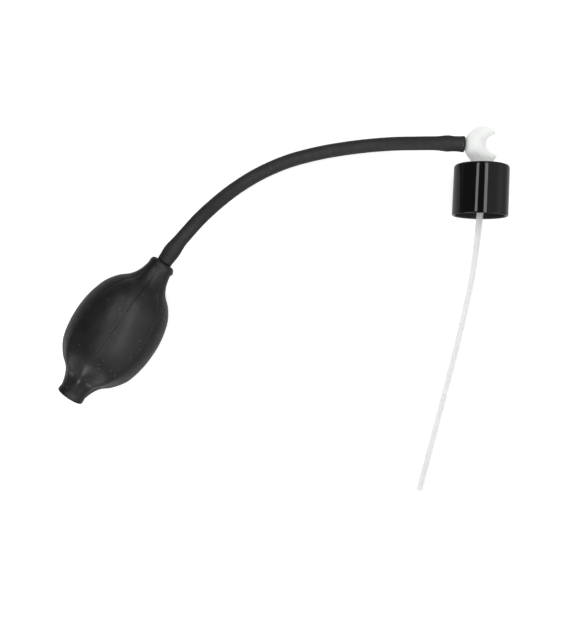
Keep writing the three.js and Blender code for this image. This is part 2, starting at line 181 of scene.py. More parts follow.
CAP_TOP_R = 13.8 * MM
CAP_EDGE_R = 1.5 * MM
CAP_WALL = 1.6 * MM
CAP_TOP_THICKNESS = 1.8 * MM
CAP_LIP = 0.3 * MM
THREAD_TURNS = 1.5
THREAD_PITCH = 3.175 * MM
THREAD_HEIGHT = 0.6 * MM
THREAD_HALF_WIDTH = 0.85 * MM
THREAD_START = 3.6 * MM
THREAD_FADE = 0.08  # turns over which the thread runs out at each end
MOUTH_EDGE_R = 0.45 * MM
CAP_SIDES = 128
CAP_EDGE_STEPS = 12
MOUTH_EDGE_STEPS = 6
CAP_SIDE_RINGS = 8
CAP_SIDE_START = 2.0 * MM
CAP_SIDE_END = 1.5 * MM  # below the rounded top edge
CAP_HOLE_EDGE = 0.3 * MM
CAP_INNER_CORNER = 0.8 * MM
THREAD_ZONE_TOP = 13.2 * MM  # the finely divided part of the wall, which carries the thread, ends here
THREAD_ZONE_RINGS = 70
THREAD_CREST_POWER = 0.6  # 0.5 would make the thread's section half an ellipse

STEM_R = 4.45 * MM
STEM_TOP = 28.0 * MM
FLANGE_R = 11.6 * MM
FLANGE_THICKNESS = 1.6 * MM
BOSS_R = 3.4 * MM
BOSS_BOTTOM = 13.5 * MM
STEM_PORT_R = 0.8 * MM
SPIGOT_R = 2.4 * MM
SPIGOT_TOP = 30.3 * MM
RING_GROOVE_R = 1.5 * MM
RING_GROOVE_BOTTOM = 28.5 * MM
RING_GROOVE_TOP = 29.8 * MM
DIP_TUBE_SOCKET_TOP = 26.5 * MM
GASKET_THICKNESS = 1.3 * MM
STEM_ROUND = 0.2 * MM
GASKET_ROUND = 0.25 * MM

BALL_R = 9.35 * MM
BALL_Y = 36.0 * MM
NOTCH_R = 4.85 * MM
NOTCH_X = 6.3 * MM
NOTCH_RISE = 0.45 * MM  # how far the notch's middle stands above the ball's
NOTCH_WALL_R = 9.0 * MM
NOTCH_EDGE_R = 2.6 * MM
SKIRT_R = 5.0 * MM
SKIRT_BOTTOM = 26.2 * MM
SKIRT_TOP = 29.6 * MM
SKIRT_FILLET = 2.2 * MM
STEM_FIT = 0.05 * MM  # how much wider the socket for the stem is than the stem
DRILL_EDGE = 0.25 * MM  # width over which the edges of the drillings are rounded
HEAD_CELL = 0.3 * MM  # size of the cells that the ball head is meshed in
HEAD_REACH = 10.6 * MM  # half the width of the box that they fill
HOSE_BARB_R = 1.7 * MM
HOSE_BARB_INNER = 4.5 * MM
AIR_PORT_R = 0.8 * MM
NOZZLE_R = 1.2 * MM
NOZZLE_START = 2.2 * MM
NOZZLE_END = -1.1 * MM
NOZZLE_WAIST_R = 0.85 * MM
NOZZLE_WAIST_HALF = 0.7 * MM
NOZZLE_ORIFICE_R = 0.35 * MM
NOZZLE_ROUND = 0.12 * MM
NOZZLE_SIDES = 48

# ---------------------------------------------------------------- node trees


class Graph:
    """A node tree with short ways to add and join nodes."""

    def __init__(self, tree):
        self.tree = tree

    def feed(self, socket, value):
        """Sets the socket to a number or a colour, or links another node's output to it."""
        if isinstance(value, tuple):
            socket.default_value = (*value, 1.0)
        elif isinstance(value, (int, float)):
            socket.default_value = value
        else:
            self.tree.links.new(value, socket)

    def math(self, operation, first, second):
        node = self.tree.nodes.new("ShaderNodeMath")
        node.operation = operation
        self.feed(node.inputs[0], first)
        self.feed(node.inputs[1], second)
        return node.outputs["Value"]

    def ramp(self, value, low, high, to_low=0.0, to_high=1.0):
        """Goes smoothly from to_low to to_high while the value goes from low to high."""
        node = self.tree.nodes.new("ShaderNodeMapRange")
        node.interpolation_type = "SMOOTHSTEP"
        for socket, number in zip(("From Min", "From Max", "To Min", "To Max"), (low, high, to_low, to_high)):
            node.inputs[socket].default_value = number
        self.feed(node.inputs["Value"], value)
        return node.outputs["Result"]


# ---------------------------------------------------------------- camera, lights and stage

CAMERA_HEIGHT = 0.456
CAMERA_OFFSET = Vector((0.12, -5.3, 0)) * MM  # from the middle of the CAD box
CAMERA_TURN = math.radians(2.345)
CAMERA_LENS_MM = 50.0
SENSOR_MM = 36.0


def make_camera():
    """A camera over the middle of the CAD box, looking straight down."""
    data = bpy.data.cameras.new("photo_camera")
    data.lens = CAMERA_LENS_MM
    data.sensor_width = SENSOR_MM
    data.clip_start = 0.01
    data.clip_end = 100.0
    camera = bpy.data.objects.new("photo_camera", data)
    centre = (cad_box[0] + cad_box[1]) / 2
    camera.location = (centre.x + CAMERA_OFFSET.x, centre.y + CAMERA_OFFSET.y, CAMERA_HEIGHT)
    camera.rotation_euler = (0, 0, CAMERA_TURN)
    bpy.context.collection.objects.link(camera)
    bpy.context.scene.camera = camera


LIGHT_HEIGHT = 0.55
STRIP_WIDTH = 0.1175
STRIPS = [  # (x, from y, to y, radiance)
    (0.166, -0.55, 0.55, 3.9),
    (-0.193, 0.07, 0.6, 3.9),
    (-0.193, -0.4, -0.04, 3.2),
]


def make_lights():
    """Level strips facing down, which only gloss mirrors. The dome lights matt surfaces."""
    for i, (x, low, high, radiance) in enumerate(STRIPS):
        data = bpy.data.lights.new(f"strip_{i}", "AREA")
        data.shape = "RECTANGLE"
        data.size = STRIP_WIDTH
        data.size_y = high - low
        data.energy = radiance * math.pi * data.size * data.size_y
        light = bpy.data.objects.new(f"strip_{i}", data)
        light.location = (x, (low + high) / 2, LIGHT_HEIGHT)
        light.visible_camera = False
        light.visible_diffuse = False
        bpy.context.collection.objects.link(light)


DOME_RADIANCE = 1.0  # the even white light that matt surfaces receive from all round
ROOM_DARK = 0.065
# What gloss mirrors instead of the dome: soft bright areas, each as
# (heading, facing from none to all of it, height from none to all, radiance).
BRIGHT_AREAS = [
    ((1.0, 0.0, 0.0), (0.08, 0.32), (-0.1, 0.0), 0.4),
    ((0.84, -0.54, 0.0), (0.5, 0.9), (0.05, 0.3), 0.35),
    ((-0.56, -0.83, 0.0), (0.88, 0.99), (-0.05, 0.1), 6.0),
]


class World(Graph):
    """The world's node tree, with the direction that is looked in."""

    def __init__(self, name):
        world = bpy.data.worlds.new(name)
        bpy.context.scene.world = world
        world.use_nodes = True
        super().__init__(world.node_tree)
        self.tree.nodes.clear()
        self.direction = self.tree.nodes.new("ShaderNodeTexCoord").outputs["Generated"]
        split = self.tree.nodes.new("ShaderNodeSeparateXYZ")
        self.feed(split.inputs["Vector"], self.direction)
        self.height = split.outputs["Z"]
        self.path = self.tree.nodes.new("ShaderNodeLightPath")

    def facing(self, heading):
        """1 straight towards the heading, 0 square to it."""
        node = self.tree.nodes.new("ShaderNodeVectorMath")
        node.operation = "DOT_PRODUCT"
        node.inputs[1].default_value = heading
        self.feed(node.inputs[0], self.direction)
        return node.outputs["Value"]

    def light(self, strength):
        node = self.tree.nodes.new("ShaderNodeBackground")
        node.inputs["Color"].default_value = (1, 1, 1, 1)
        self.feed(node.inputs["Strength"], strength)
        return node.outputs["Background"]

    def choose(self, ray_kind, chosen, otherwise):
        node = self.tree.nodes.new("ShaderNodeMixShader")
        self.feed(node.inputs["Fac"], self.path.outputs[ray_kind])
        self.feed(node.inputs[1], otherwise)
        self.feed(node.inputs[2], chosen)
        return node.outputs["Shader"]


def make_world():
    """An even dome for matt surfaces, a dim room with bright areas for gloss, and white for the camera."""
    world = World("studio")
    total = ROOM_DARK
    for heading, turn, rise, radiance in BRIGHT_AREAS:
        seen = world.ramp(world.facing(heading), *turn, 0.0, radiance)
        area = world.math("MULTIPLY", seen, world.ramp(world.height, *rise))
        total = world.math("ADD", area, total)
    surface = world.choose("Is Diffuse Ray", world.light(DOME_RADIANCE), world.light(total))
    surface = world.choose("Is Camera Ray", world.light(1.0), surface)
    out = world.tree.nodes.new("ShaderNodeOutputWorld")
    world.feed(out.inputs["Surface"], surface)


FLOOR_HALF = 6.0
FLOOR_DROP = 0.02 * MM
FLOOR_ALBEDO = 0.9
FLOOR_GLOW_SEEN = 0.5  # added for the camera only, so that the table stays white
TABLE_FAR_SHARES = (0.14, 0.42)  # of the table's brightness, in reflections of far parts: left and right
TABLE_SHARE_RISE = (0.05, 0.3)  # where along x it goes from the one to the other, in metres
TABLE_FADE = 0.08  # metres over which the reflected table dims by a factor of e


def make_floor():
    """A white floor. Gloss mirrors it less and less with distance, as it does a small table."""
    mesh = bpy.data.meshes.new("floor")
    corners = [(-1, -1), (1, -1), (1, 1), (-1, 1)]
    mesh.from_pydata([(x * FLOOR_HALF, y * FLOOR_HALF, -FLOOR_DROP) for x, y in corners], [], [(0, 1, 2, 3)])
    floor = bpy.data.objects.new("floor", mesh)
    bpy.context.collection.objects.link(floor)
    nodes = Nodes("white_table")
    nodes.set(Roughness=0.9, Specular_IOR_Level=0.0, Emission_Color=(1, 1, 1, 1))
    path = nodes.tree.nodes.new("ShaderNodeLightPath")
    fade = nodes.math("POWER", math.exp(-1 / TABLE_FADE), path.outputs["Ray Length"])
    split = nodes.tree.nodes.new("ShaderNodeSeparateXYZ")
    nodes.feed(split.inputs["Vector"], nodes.coords)
    far_share = nodes.ramp(split.outputs["X"], *TABLE_SHARE_RISE, *TABLE_FAR_SHARES)
    fade = nodes.math("MAXIMUM", fade, far_share)
    dimmed = nodes.math("MULTIPLY", path.outputs["Is Glossy Ray"], nodes.math("SUBTRACT", 1.0, fade))
    nodes.link(nodes.mix(dimmed, (FLOOR_ALBEDO,) * 3, (0, 0, 0)), "Base Color")
    nodes.link(nodes.math("MULTIPLY", path.outputs["Is Camera Ray"], FLOOR_GLOW_SEEN), "Emission Strength")
    mesh.materials.append(nodes.material)


# ---------------------------------------------------------------- materials


NOISE_LIMITS = (0.3, 0.7)  # where noise, which keeps near 0.5, is taken as its lowest and its highest


class Nodes(Graph):
    """A material's node tree round its shader."""

    def __init__(self, name):
        self.material = bpy.data.materials.new(name)
        self.material.use_nodes = True
        super().__init__(self.material.node_tree)
        self.shader = self.tree.nodes["Principled BSDF"]
        self.coords = self.tree.nodes.new("ShaderNodeTexCoord").outputs["Object"]

    def set(self, **values):
        for key, value in values.items():
            self.shader.inputs[key.replace("_", " ")].default_value = value

    def link(self, output, socket):
        self.feed(self.shader.inputs[socket], output)

    def noise(self, size, detail=3.0, roughness=0.5):
        """Noise with features of about that size, in metres, from 0 to 1."""
        node = self.tree.nodes.new("ShaderNodeTexNoise")
        node.inputs["Scale"].default_value = 1.0 / size
        node.inputs["Detail"].default_value = detail
        node.inputs["Roughness"].default_value = roughness
        self.feed(node.inputs["Vector"], self.coords)
        return node.outputs["Fac"]

    def mix(self, factor, first, second):
        node = self.tree.nodes.new("ShaderNodeMix")
        node.data_type = "RGBA"
        self.feed(node.inputs["Factor"], factor)
        colours = [socket for socket in node.inputs if socket.type == "RGBA"]
        self.feed(colours[0], first)
        self.feed(colours[1], second)
        return next(socket for socket in node.outputs if socket.type == "RGBA")

    def tone(self, size, detail, dark, light, limits=NOISE_LIMITS):
        """A colour that drifts between two, in patches of about that size."""
        return self.mix(self.ramp(self.noise(size, detail), *limits), dark, light)

    def rough(self, size, detail, low, high):
        """Sets a roughness that drifts between two, in patches of about that size."""
        self.link(self.ramp(self.noise(size, detail), *NOISE_LIMITS, low, high), "Roughness")

    def specks(self, cell, radius, share):
        """1 in small round dots, one in some cells of that size, 0 elsewhere."""
        node = self.tree.nodes.new("ShaderNodeTexVoronoi")
        node.inputs["Scale"].default_value = 1.0 / cell
        self.feed(node.inputs["Vector"], self.coords)
        dot = self.ramp(node.outputs["Distance"], 0.6 * radius / cell, radius / cell, 1.0, 0.0)
        chosen = self.tree.nodes.new("ShaderNodeSeparateColor")
        self.feed(chosen.inputs["Color"], node.outputs["Color"])
        kept = self.math("LESS_THAN", chosen.outputs["Red"], share)
        return self.math("MULTIPLY", dot, kept)

    def dust(self, under, colour, cell, radius, share, strength):
        """That colour in specks over the colour under it."""
        dots = self.math("MULTIPLY", self.specks(cell, radius, share), strength)
        return self.mix(dots, under, colour)

    def within_head_axis(self, radius):
        """1 within that distance of the head's axis, 0 elsewhere."""
        flat = self.tree.nodes.new("ShaderNodeVectorMath")
        flat.operation = "MULTIPLY"
        flat.inputs[1].default_value = (1, 0, 1)
        self.feed(flat.inputs[0], self.coords)
        away = self.tree.nodes.new("ShaderNodeVectorMath")
        away.operation = "DISTANCE"
        away.inputs[1].default_value = (HEAD.x, 0, HEAD.z)
        self.feed(away.inputs[0], flat.outputs["Vector"])
        return self.math("LESS_THAN", away.outputs["Value"], radius)

    def bump(self, *layers):
        """Each layer is (height from 0 to 1, depth in metres)."""
        normal = None
        for height, depth in layers:
            node = self.tree.nodes.new("ShaderNodeBump")
            node.inputs["Distance"].default_value = depth
            self.feed(node.inputs["Height"], height)
            if normal is not None:
                self.feed(node.inputs["Normal"], normal)
            normal = node.outputs["Normal"]
        self.link(normal, "Normal")


def bulb_rubber():
    nodes = Nodes("bulb_rubber")
    tone = nodes.tone(14 * MM, 3.0, (0.0085, 0.0085, 0.0078), (0.012, 0.012, 0.0115), limits=(0.35, 0.7))
    tone = nodes.dust(tone, (0.25, 0.25, 0.24), cell=1.1 * MM, radius=0.15 * MM, share=0.35, strength=0.35)
    tone = nodes.dust(tone, (0.42, 0.42, 0.41), cell=2.3 * MM, radius=0.2 * MM, share=0.5, strength=0.7)
    nodes.link(tone, "Base Color")
    nodes.rough(5 * MM, 4.0, 0.38, 0.46)
    nodes.bump((nodes.noise(0.35 * MM, 2.0), 0.012 * MM), (nodes.noise(9 * MM, 2.0), 0.12 * MM))
    return nodes.material


def hose_rubber():
    nodes = Nodes("hose_rubber")
    tone = nodes.tone(6 * MM, 4.0, (0.0125, 0.0125, 0.0115), (0.018, 0.018, 0.0168))
    tone = nodes.dust(tone, (0.4, 0.4, 0.38), cell=2.6 * MM, radius=0.26 * MM, share=0.22, strength=0.45)
    nodes.link(tone, "Base Color")
    nodes.rough(2 * MM, 3.0, 0.58, 0.68)
    nodes.bump((nodes.noise(0.4 * MM, 3.0), 0.035 * MM), (nodes.noise(4 * MM, 2.0), 0.08 * MM))
    return nodes.material


# The cap's inside is painted lighter than its outside: painted light, for light that falls into the mouth.
CAP_INSIDE_PAINTED_LIGHT_TONE = (0.019, 0.019, 0.0175)
CAP_INSIDE_ROUGHNESS = 0.35  # added to the outside's


def cap_gloss():
    """A polished black outside, and a duller inside that the clear tube's end is seen against. The inside's
    lighter tone is painted light, for light that falls into the cap's mouth.
    """
    nodes = Nodes("cap_gloss")
    tone = nodes.tone(20 * MM, 2.0, (0.003, 0.003, 0.003), (0.0045, 0.0045, 0.0045))
    tone = nodes.dust(tone, (0.3, 0.3, 0.3), cell=3.2 * MM, radius=0.14 * MM, share=0.12, strength=0.25)
    inside = nodes.within_head_axis(CAP_MOUTH_R - CAP_WALL + CAP_LIP)
    # Inside the mouth the base colour is lightened as painted light.
    nodes.link(nodes.mix(inside, tone, CAP_INSIDE_PAINTED_LIGHT_TONE), "Base Color")
    gloss = nodes.ramp(nodes.noise(7 * MM, 4.0), 0.35, 0.75, 0.035, 0.075)
    nodes.link(nodes.math("ADD", gloss, nodes.math("MULTIPLY", inside, CAP_INSIDE_ROUGHNESS)), "Roughness")
    nodes.bump((nodes.noise(9 * MM, 1.0), 0.05 * MM))
    return nodes.material


def white_plastic():
    """Light scattered inside the plastic is a wide subsurface. The faint glow is painted light, which lifts
    the shade on the white parts where little light reaches.
    """
    nodes = Nodes("white_plastic")
    nodes.link(nodes.tone(6 * MM, 3.0, (0.69, 0.71, 0.69), (0.72, 0.74, 0.72)), "Base Color")
    nodes.rough(2 * MM, 3.0, 0.48, 0.58)
    nodes.bump((nodes.noise(0.3 * MM, 2.0), 0.012 * MM))
    # The emission is painted light: a faint glow that lifts the shade on the white parts.
    nodes.set(Subsurface_Weight=1.0, Subsurface_Radius=(1.0, 1.0, 0.97), Subsurface_Scale=8 * MM,
              Emission_Color=(1, 1, 1, 1), Emission_Strength=0.14)
    return nodes.material


def clear_plastic():
    nodes = Nodes("clear_plastic")
    nodes.link(nodes.tone(5 * MM, 3.0, (0.86, 0.875, 0.875), (0.89, 0.9, 0.9)), "Base Color")
    nodes.rough(8 * MM, 2.0, 0.34, 0.42)
    nodes.bump((nodes.noise(6 * MM, 1.0), 0.01 * MM))
    nodes.set(Alpha=0.45)
    return nodes.material


def black_plastic():
    nodes = Nodes("black_plastic")
    nodes.link(nodes.tone(3 * MM, 3.0, (0.006, 0.006, 0.006), (0.011, 0.011, 0.011)), "Base Color")
    nodes.rough(1 * MM, 3.0, 0.34, 0.46)
    nodes.bump((nodes.noise(0.25 * MM, 2.0), 0.01 * MM))
    return nodes.material


def polished_steel():
    nodes = Nodes("polished_steel")
    nodes.link(nodes.tone(1.5 * MM, 3.0, (0.55, 0.56, 0.57), (0.66, 0.67, 0.68)), "Base Color")
    nodes.rough(0.6 * MM, 4.0, 0.14, 0.26)
    nodes.bump((nodes.noise(0.15 * MM, 2.0), 0.003 * MM))
    nodes.set(Metallic=1.0)
    return nodes.material


def seal_rubber():
    nodes = Nodes("seal_rubber")
    nodes.link(nodes.tone(1 * MM, 3.0, (0.012, 0.012, 0.012), (0.02, 0.02, 0.02)), "Base Color")
    nodes.rough(0.5 * MM, 3.0, 0.4, 0.55)
    nodes.bump((nodes.noise(0.1 * MM, 2.0), 0.005 * MM))
    return nodes.material


def gasket_foam():
    nodes = Nodes("gasket_foam")
    cells = nodes.noise(0.5 * MM, 4.0, 0.7)
    light = nodes.ramp(cells, *NOISE_LIMITS)
    nodes.link(nodes.mix(light, (0.74, 0.74, 0.71), (0.86, 0.86, 0.83)), "Base Color")
    nodes.link(nodes.ramp(cells, *NOISE_LIMITS, 0.7, 0.9), "Roughness")
    nodes.bump((cells, 0.08 * MM))
    return nodes.material


SLOT_MATERIALS = {
    "bulb_rubber": bulb_rubber(),
    "hose_rubber": hose_rubber(),
    "cap_gloss": cap_gloss(),
    "white_plastic": white_plastic(),
    "clear_plastic": clear_plastic(),
    "valve_plastic": black_plastic(),
    "steel": polished_steel(),
    "seal_rubber": seal_rubber(),
    "gasket_foam": gasket_foam(),
}

# ---------------------------------------------------------------- mesh helpers


def add_piece(name, points, faces, slot, body, *nodes):
    """A smooth-shaded mesh piece that rides on that body and stands for those CAD nodes."""
    mesh = bpy.data.meshes.new(name)
    mesh.from_pydata([tuple(p) for p in points], [], [tuple(int(i) for i in f) for f in faces])
    mesh.polygons.foreach_set("use_smooth", [True] * len(mesh.polygons))
    mesh.materials.append(SLOT_MATERIALS[slot])
    piece = bpy.data.objects.new(name, mesh)
    bpy.context.collection.objects.link(piece)
    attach(piece, body)
    if nodes:
        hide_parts(*nodes)
    return piece


def grid_faces(rows, columns, close_rows=False):
    """Quads over a grid of rows x columns points. The columns always close on themselves."""
    faces = []
    for i in range(rows if close_rows else rows - 1):
        for j in range(columns):
            here, there = i * columns, (i + 1) % rows * columns
            right = (j + 1) % columns
            faces.append((here + j, here + right, there + right, there + j))
    return faces


def smooth_curve(points, per_span):
    """The centripetal Catmull-Rom curve through the points, with that many steps in each span."""
    points = np.array(points, float)
    padded = np.vstack([2 * points[0] - points[1], points, 2 * points[-1] - points[-2]])
    curve = []
    for before, start, end, after in zip(padded, padded[1:], padded[2:], padded[3:]):
        gap_before = np.linalg.norm(start - before) ** 0.5
        gap = np.linalg.norm(end - start) ** 0.5
        gap_after = np.linalg.norm(after - end) ** 0.5
        mean_slope = (end - start) / gap
        leaving = (start - before) / gap_before - (end - before) / (gap_before + gap) + mean_slope
        arriving = mean_slope - (after - start) / (gap + gap_after) + (after - end) / gap_after
        leaving, arriving = leaving * gap, arriving * gap
        for t in np.arange(per_span) / per_span:
            bend = 3 * (end - start) - 2 * leaving - arriving
            twist = 2 * (start - end) + leaving + arriving
            curve.append(start + leaving * t + bend * t**2 + twist * t**3)
    curve.append(points[-1])
    return np.array(curve)


def even_path(route_mm, step):
    """Points a step apart, in metres, on the smooth curve through a route in millimetres."""
    dense = smooth_curve(route_mm, ROUTE_STEPS) * MM
    lengths = np.linalg.norm(np.diff(dense, axis=0), axis=1)
    travelled = np.concatenate([[0.0], np.cumsum(lengths)])
    stops = np.linspace(0.0, travelled[-1], int(round(travelled[-1] / step)) + 1)
    return np.column_stack([np.interp(stops, travelled, dense[:, k]) for k in range(3)]), stops


def rings_along(path, radii, sides):
    """A ring of points round each point of the path, in planes square to it."""
    tangents = np.gradient(path, axis=0)
    tangents /= np.linalg.norm(tangents, axis=1)[:, None]
    across = np.cross(tangents, np.array(UP))
    across /= np.linalg.norm(across, axis=1)[:, None]
    above = np.cross(across, tangents)
    angles = np.arange(sides) * 2 * math.pi / sides
    wheel = across[:, None] * np.cos(angles)[None, :, None] + above[:, None] * np.sin(angles)[None, :, None]
    return path[:, None] + wheel * np.asarray(radii)[:, None, None]


def rounded(outline, radius, steps=4):
    """The closed outline with its corners rounded, by at most half of the shorter side."""
    corners = [np.array(p, float) for p in outline]
    result = []
    for i, corner in enumerate(corners):
        back, ahead = corners[i - 1] - corner, corners[(i + 1) % len(corners)] - corner
        reach = min(radius, np.linalg.norm(back) / 2.01, np.linalg.norm(ahead) / 2.01)
        start = corner + back / np.linalg.norm(back) * reach
        end = corner + ahead / np.linalg.norm(ahead) * reach
        for t in np.linspace(0, 1, steps + 1):
            result.append((1 - t) ** 2 * start + 2 * t * (1 - t) * corner + t**2 * end)
    return np.array(result)


def turned(name, outline, place, slot, body, *nodes, sides=96):
    """A turned piece. The closed outline is (radius, height) points, and place gives its axis."""
    origin, axis = place
    across = UP.cross(axis).normalized()
    above = axis.cross(across)
    points = []
    for radius, height in outline:
        for angle in np.arange(sides) * 2 * math.pi / sides:
            spoke = across * math.cos(angle) + above * math.sin(angle)
            points.append(origin + axis * height + spoke * radius)
    return add_piece(name, points, grid_faces(len(outline), sides, close_rows=True), slot, body, *nodes)


HEAD_AXIS = Vector((0, 1, 0))
ON_HEAD = (HEAD, HEAD_AXIS)
ON_CROSS_AXIS = (HEAD + HEAD_AXIS * BALL_Y, Vector((-1, 0, 0)))


def on_bulb(distance):
    return BULB_TAIL + BULB_AXIS * distance, BULB_AXIS


# ---------------------------------------------------------------- hose, made before the other pieces


def end_radius(distance, profile):
    """The hose's radius at a distance from its end, swollen where something is pushed into it."""
    steps, radii = np.array(profile).T * MM
    return np.interp(distance, steps, radii)


def bored_end(path, outer, radii):
    """Rings of the hose's open first end: its rim, the mouth of its bore and the bottom of its bore."""
    recess = int(HOSE_BORE_DEPTH / HOSE_STEP)
    spokes = (outer[0] - path[0]) / radii[0]
    rim = path[0] + spokes * (radii[0] - HOSE_RIM_R)
    return rim, path[0] + spokes * HOSE_BORE_R, path[recess] + spokes * HOSE_BORE_R


def air_hose():
    neck_end = tuple((BULB_TAIL + BULB_AXIS * (BULB_LENGTH - HOSE_SUNK)) / MM)
    path, travelled = even_path([neck_end] + HOSE_ROUTE[1:], HOSE_STEP)
    remaining = travelled[-1] - travelled
    neck_part = end_radius(travelled, smooth_curve(HOSE_NECK_END, PROFILE_STEPS))
    head_part = end_radius(remaining, smooth_curve(HOSE_HEAD_END, PROFILE_STEPS))
    radii = np.where(travelled < remaining, neck_part, head_part)
    outer = rings_along(path, radii, HOSE_SIDES)
    start_rim, start_mouth, start_bottom = bored_end(path, outer, radii)
    last_rim, last_mouth, last_bottom = bored_end(path[::-1], outer[::-1], radii[::-1])
    rings = list(outer)
    for k in (0, -1):
        rings[k] = path[k] + (outer[k] - path[k]) * (1 - HOSE_END_INSET / radii[k])
    stack = [start_bottom, start_mouth, start_rim] + rings + [last_rim, last_mouth, last_bottom]
    points = np.array(stack).reshape(-1, 3)
    faces = grid_faces(len(stack), HOSE_SIDES)
    start_cap, end_cap = len(points), len(points) + 1
    points = np.vstack([points, stack[0].mean(axis=0), stack[-1].mean(axis=0)])
    last_row = (len(stack) - 1) * HOSE_SIDES
    for j in range(HOSE_SIDES):
        right = (j + 1) % HOSE_SIDES
        faces.append((start_cap, right, j))
        faces.append((end_cap, last_row + j, last_row + right))
    hose = add_piece("rubber_hose", points, faces, "hose_rubber", "pump", "air_hose")


# ---------------------------------------------------------------- bulb


def fillet(centre_s, centre_r, radius, from_deg, to_deg, steps):
    """Points on an arc, as (distance from the tail face, radius)."""
    angles = np.radians(np.linspace(from_deg, to_deg, steps + 1))
    return [(centre_s - radius * math.cos(a), centre_r + radius * math.sin(a)) for a in angles]


def bulb_profile():
    """(distance from the tail face, radius) up the outside, then back down the inside."""
    skin = TAIL_LIP + BULB_OUTLINE
    skin.append(((BULB_LENGTH - NECK_EDGE_R - NECK_EDGE_LEAD) / MM, NECK_COLLAR_R / MM))
    outside = [tuple(p * MM) for p in smooth_curve(skin, SKIN_STEPS)]
    neck = fillet(0, NECK_COLLAR_R - NECK_EDGE_R, NECK_EDGE_R, 90, 180, NECK_EDGE_STEPS)
    outside += [(BULB_LENGTH - NECK_EDGE_R + s, r) for s, r in neck]
    outside.append((BULB_LENGTH, COLLAR_BORE_R + BORE_EDGE_R))
    inside = [(BULB_LENGTH - BORE_EDGE_R, COLLAR_BORE_R), (CAVITY_END + CAVITY_CORNER, COLLAR_BORE_R)]
    cavity = [
        (s * MM, r * MM - BULB_WALL)
        for s, r in smooth_curve(BULB_OUTLINE, CAVITY_STEPS)
        if CAVITY_START < s * MM < CAVITY_END and r * MM - BULB_WALL > COLLAR_BORE_R
    ]
    inside += cavity[::-1]
    inside += [(CAVITY_START - CAVITY_CORNER, COLLAR_BORE_R), (BORE_EDGE_R, COLLAR_BORE_R)]
    return outside, inside


def lobe_share(s):
    """How far the skin sinks, as a share of the radius, signed as in LOBE_SHARES."""
    stops, shares = smooth_curve(LOBE_SHARES, PROFILE_STEPS).T
    return float(np.interp(s / MM, stops, shares, left=0.0, right=0.0))


def bulb_shell():
    outside, inside = bulb_profile()
    sector = 2 * math.pi / SEAMS
    half = [a / 2 / SEAM_SAMPLES_DEG[-1] * sector for a in SEAM_SAMPLES_DEG]
    offsets = half + [sector - a for a in half[-2:0:-1]]
    angles = np.array([SEAM_START + k * sector + a for k in range(SEAMS) for a in offsets])
    from_seam = np.array([min(a, sector - a) for _ in range(SEAMS) for a in offsets])
    across, above = np.array(BULB_SIDE), np.array(UP)
    spokes = np.sin(angles)[:, None] * across + np.cos(angles)[:, None] * above
    rings = []
    for s, r in outside + inside:
        radii = np.full(len(angles), r)
        if (s, r) in outside[PLAIN_RINGS:-PLAIN_RINGS]:
            share = lobe_share(s)
            rise = np.sin(from_seam * SEAMS / 2)
            valley = (1 - rise if share > 0 else rise) ** VALLEY_SHARPNESS
            groove = np.clip(1 - (from_seam * r / SEAM_HALF_WIDTH) ** 2, 0, 1)
            fade = np.interp(s, SEAM_FADE, (0, 1, 1, 0))
            radii = r * (1 - abs(share) * valley) - SEAM_DEPTH * groove * fade
        if s > NUB_ZONE_START and (s, r) in outside:
            along = (s - NUB_PLACE) / NUB_SIZE
            around = (angles - SEAM_START - NUB_SEAM * sector) * r / NUB_SIZE
            radii = radii + NUB_HEIGHT * np.exp(-along**2 - around**2)
        rings.append(np.array(BULB_TAIL + BULB_AXIS * s) + spokes * radii[:, None])
    points = np.array(rings).reshape(-1, 3)
    faces = grid_faces(len(rings), len(angles), close_rows=True)
    shell = add_piece("squeeze_bulb", points, faces, "bulb_rubber", "pump", "bulb_shell")
    flip_if_inside_out(shell)
    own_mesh(shell)


def flip_if_inside_out(piece):
    """Turns every face outwards."""
    work = bmesh.new()
    work.from_mesh(piece.data)
    bmesh.ops.recalc_face_normals(work, faces=work.faces)
    work.to_mesh(piece.data)
    work.free()


# ---------------------------------------------------------------- inlet valve


def inlet_valve():
    pocket_floor = SCREEN_POCKET_DEPTH - SNOUT_LENGTH
    outline = [
        (SCREEN_R + GAP, -SNOUT_LENGTH), (SNOUT_R, -SNOUT_LENGTH), (SNOUT_R, 0), (VALVE_R, 0),
        (VALVE_R, VALVE_LENGTH), (VALVE_CAGE_R + GAP, VALVE_LENGTH),
        (VALVE_CAGE_R + GAP, VALVE_CHAMBER_END), (VALVE_CHAMBER_R, VALVE_CHAMBER_END),
        (VALVE_CHAMBER_R, VALVE_PORT_LENGTH + VALVE_SEAT_LENGTH), (VALVE_PORT_R, VALVE_PORT_LENGTH),
        (VALVE_PORT_R, pocket_floor), (SCREEN_R + GAP, pocket_floor),
    ]
    turned("inlet_valve", rounded(outline, VALVE_ROUND), on_bulb(INLET_VALVE_START), "valve_plastic", "pump",
           "inlet_valve_body", sides=VALVE_SIDES)


# ---------------------------------------------------------------- cap


def thread_height(angle, y):
    """How far the bottle thread stands in from the cap's wall at that angle and height."""
    height = 0.0
    for lap in range(int(THREAD_TURNS) + 1):
        turn = angle / (2 * math.pi) + lap
        if turn > THREAD_TURNS:
            continue
        offset = (y - THREAD_START - turn * THREAD_PITCH) / THREAD_HALF_WIDTH
        fade = min(1.0, turn / THREAD_FADE, (THREAD_TURNS - turn) / THREAD_FADE)
        height = max(height, THREAD_HEIGHT * fade * max(0.0, 1 - offset**2) ** THREAD_CREST_POWER)
    return height


